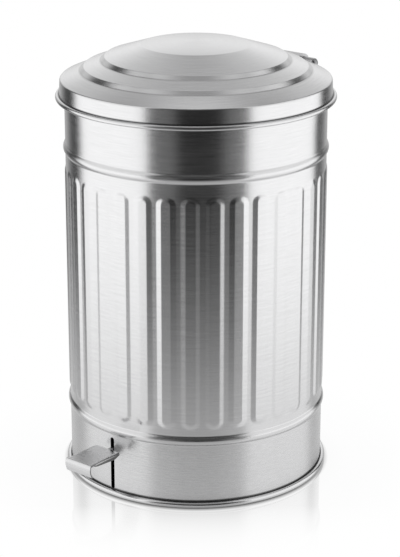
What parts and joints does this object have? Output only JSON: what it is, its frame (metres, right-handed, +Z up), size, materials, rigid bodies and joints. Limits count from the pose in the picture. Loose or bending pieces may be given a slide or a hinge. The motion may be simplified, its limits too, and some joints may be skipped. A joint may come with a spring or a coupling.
{
  "type": "pedal bin",
  "caption": "Fluted steel pedal bin with a stepped domed lid on a rear hinge, a foot pedal, a lever and rod linkage and a lift-out bucket.",
  "frame": {"origin": "on the can's axis, in the plane of the floor that the foot ring stands on", "axes": "+Z up along the can's axis, -Y towards the pedal, +Y towards the lid's hinge, +X to the right of someone who faces the hinge from the pedal's side"},
  "size_m": [0.295, 0.3541, 0.4688],
  "materials": {
    "brushed_body": "satin, brushed round the can",
    "brushed_lid": "satin, spun in rings",
    "polished_foot": "polished roll",
    "brushed_pedal": "satin, brushed across",
    "plated_bracket": "plain pressed steel",
    "plated_pins": "bright zinc plate",
    "galvanised_base": "dull galvanised sheet",
    "black_foot": "matt",
    "bucket_plastic": "fine-grained",
    "nylon_bush": "smooth",
    "rubber_rest": "matt"
  },
  "bodies": {
    "can": {"body_shell": "brushed_body", "foot_trim": "polished_foot", "floor_ring": "black_foot", "base_plate": "galvanised_base", "pivot_bracket": "plated_bracket", "bracket_screws": "plated_pins", "pivot_pin": "plated_pins", "pivot_clip": "plated_bracket", "rod_guides": "plated_bracket", "hinge_bracket": "plated_bracket", "hinge_rivets": "plated_pins", "hinge_pin": "plated_pins", "hinge_pin_caps": "plated_pins", "inner_bucket": "bucket_plastic"},
    "lid": {"lid_shell": "brushed_lid", "lid_hinge_leaf": "brushed_lid", "leaf_rivets": "plated_pins", "lid_crank": "plated_bracket", "lid_rests": "rubber_rest"},
    "pedal": {"pedal_lever": "plated_bracket", "pedal_plate": "brushed_pedal", "lever_bush": "nylon_bush"},
    "rod": {"push_rod": "plated_pins", "rod_washers": "plated_bracket"},
    "bail": {"bail_wire": "plated_pins", "bail_grip": "bucket_plastic"}
  },
  "joints": [
    {"name": "lid_hinge", "type": "hinge", "parent": "can", "child": "lid", "pos_m": [0, 0.154, 0.4235], "axis": [-1, 0, 0], "range_deg": [0, 75]},
    {"name": "pedal_hinge", "type": "hinge", "parent": "can", "child": "pedal", "pos_m": [0, -0.03, 0.0345], "axis": [1, 0, 0], "range_deg": [0, 12.83]},
    {"name": "rod_slide", "type": "slide", "parent": "can", "child": "rod", "axis": [0, 0, 1], "range_m": [0, 0.03607]},
    {"name": "bail_hinge", "type": "hinge", "parent": "can", "child": "bail", "pos_m": [0, 0, 0.4193], "axis": [-1, 0, 0], "range_deg": [0, 4]}
  ],
  "couplings": [
    {"joint": "pedal_hinge", "follows": "lid_hinge", "ratio": 0.17094},
    {"joint": "rod_slide", "follows": "lid_hinge", "m_per_rad": 0.027551}
  ]
}
